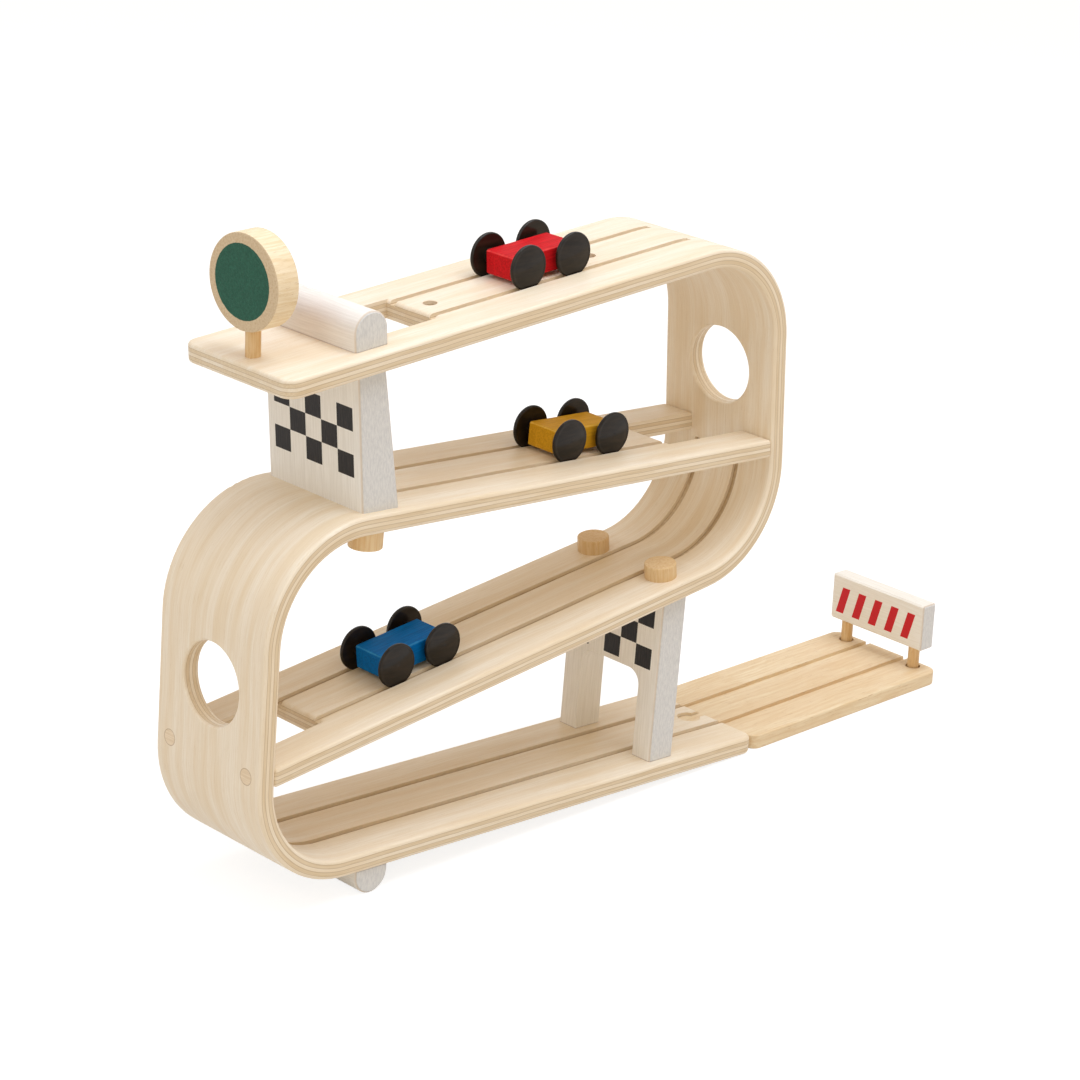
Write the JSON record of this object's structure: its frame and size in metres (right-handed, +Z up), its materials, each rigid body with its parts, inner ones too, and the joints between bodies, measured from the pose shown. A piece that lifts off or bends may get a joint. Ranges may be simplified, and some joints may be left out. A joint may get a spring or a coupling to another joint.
{
  "type": "toy car ramp",
  "caption": "Zigzag wooden ramp of bent plywood with sloping grooved runs, drop openings, an arch, a turning sign, a lift-off end track with a barrier, and rolling block cars.",
  "frame": {"origin": "on the ground below the middle of the whole toy's bounding box", "axes": "+X from the turning sign towards the end track, +Y from the open front to the back, +Z up"},
  "size_m": [0.6084, 0.096, 0.405],
  "materials": {
    "birch_ply": "satin",
    "beech_board": "satin",
    "whitewashed_wood": "matte",
    "sign_wood": "satin",
    "dowel": "satin",
    "steel": "satin",
    "dark_wood": "gloss",
    "red_wood": "satin",
    "yellow_wood": "satin",
    "blue_wood": "satin"
  },
  "bodies": {
    "ramp": {"upper_track": "birch_ply", "lower_track": "birch_ply", "start_stop": "whitewashed_wood", "tower_block": "whitewashed_wood", "arch_gate": "whitewashed_wood", "support_foot": "whitewashed_wood", "arch_peg_near": "dowel", "arch_peg_far": "dowel", "tower_peg_near": "dowel", "tower_peg_far": "dowel", "left_plug_near": "dowel", "left_plug_far": "dowel", "right_plug_near": "dowel", "right_plug_far": "dowel", "left_wall_screw_near": "steel", "left_wall_screw_far": "steel", "right_wall_screw_near": "steel", "right_wall_screw_far": "steel", "tower_screw_near": "steel", "tower_screw_far": "steel", "arch_screw_near": "steel", "arch_screw_far": "steel", "stop_pin_near": "dowel", "stop_pin_far": "dowel", "foot_pin_near": "dowel", "foot_pin_far": "dowel"},
    "sign": {"sign_post": "dowel", "sign_disc": "sign_wood"},
    "end_track": {"end_track": "beech_board"},
    "barrier": {"barrier_board": "whitewashed_wood", "barrier_post_near": "dowel", "barrier_post_far": "dowel"},
    "red_car": {"red_body": "red_wood"},
    "red_front_wheels": {"red_front_axle": "dowel", "red_front_near_wheel": "dark_wood", "red_front_far_wheel": "dark_wood"},
    "red_rear_wheels": {"red_rear_axle": "dowel", "red_rear_near_wheel": "dark_wood", "red_rear_far_wheel": "dark_wood"},
    "yellow_car": {"yellow_body": "yellow_wood"},
    "yellow_front_wheels": {"yellow_front_axle": "dowel", "yellow_front_near_wheel": "dark_wood", "yellow_front_far_wheel": "dark_wood"},
    "yellow_rear_wheels": {"yellow_rear_axle": "dowel", "yellow_rear_near_wheel": "dark_wood", "yellow_rear_far_wheel": "dark_wood"},
    "blue_car": {"blue_body": "blue_wood"},
    "blue_front_wheels": {"blue_front_axle": "dowel", "blue_front_near_wheel": "dark_wood", "blue_front_far_wheel": "dark_wood"},
    "blue_rear_wheels": {"blue_rear_axle": "dowel", "blue_rear_near_wheel": "dark_wood", "blue_rear_far_wheel": "dark_wood"}
  },
  "joints": [
    {"name": "sign_turn", "type": "hinge", "parent": "ramp", "child": "sign", "pos_m": [-0.2731, 0, 0.37686], "axis": [0, 0, 1], "continuous": true},
    {"name": "end_track_lift", "type": "slide", "parent": "ramp", "child": "end_track", "axis": [0, 0, 1], "range_m": [0, 0.03]},
    {"name": "barrier_lift", "type": "slide", "parent": "end_track", "child": "barrier", "axis": [0, 0, 1], "range_m": [0, 0.03]},
    {"name": "red_roll", "type": "slide", "parent": "ramp", "child": "red_car", "axis": [-0.9981, 0, -0.0622], "range_m": [-0.086, 0.07]},
    {"name": "red_front_spin", "type": "hinge", "parent": "red_car", "child": "red_front_wheels", "pos_m": [-0.04315, 0, 0.35881], "axis": [0, 1, 0], "continuous": true},
    {"name": "red_rear_spin", "type": "hinge", "parent": "red_car", "child": "red_rear_wheels", "pos_m": [-0.07988, 0, 0.35652], "axis": [0, 1, 0], "continuous": true},
    {"name": "yellow_roll", "type": "slide", "parent": "ramp", "child": "yellow_car", "axis": [0.9978, 0, -0.0664], "range_m": [-0.139, 0.043]},
    {"name": "yellow_front_spin", "type": "hinge", "parent": "yellow_car", "child": "yellow_front_wheels", "pos_m": [-0.00217, 0, 0.23733], "axis": [0, 1, 0], "continuous": true},
    {"name": "yellow_rear_spin", "type": "hinge", "parent": "yellow_car", "child": "yellow_rear_wheels", "pos_m": [-0.03889, 0, 0.23977], "axis": [0, 1, 0], "continuous": true},
    {"name": "blue_roll", "type": "slide", "parent": "ramp", "child": "blue_car", "axis": [-0.9938, 0, -0.1108], "range_m": [-0.18, 0.055]},
    {"name": "blue_front_spin", "type": "hinge", "parent": "blue_car", "child": "blue_front_wheels", "pos_m": [-0.1388, 0, 0.13049], "axis": [0, 1, 0], "continuous": true},
    {"name": "blue_rear_spin", "type": "hinge", "parent": "blue_car", "child": "blue_rear_wheels", "pos_m": [-0.17537, 0, 0.12641], "axis": [0, 1, 0], "continuous": true}
  ],
  "couplings": [
    {"joint": "red_front_spin", "follows": "red_roll", "rad_per_m": -72.464},
    {"joint": "red_rear_spin", "follows": "red_roll", "rad_per_m": -72.464},
    {"joint": "yellow_front_spin", "follows": "yellow_roll", "rad_per_m": 72.464},
    {"joint": "yellow_rear_spin", "follows": "yellow_roll", "rad_per_m": 72.464},
    {"joint": "blue_front_spin", "follows": "blue_roll", "rad_per_m": -72.464},
    {"joint": "blue_rear_spin", "follows": "blue_roll", "rad_per_m": -72.464}
  ]
}
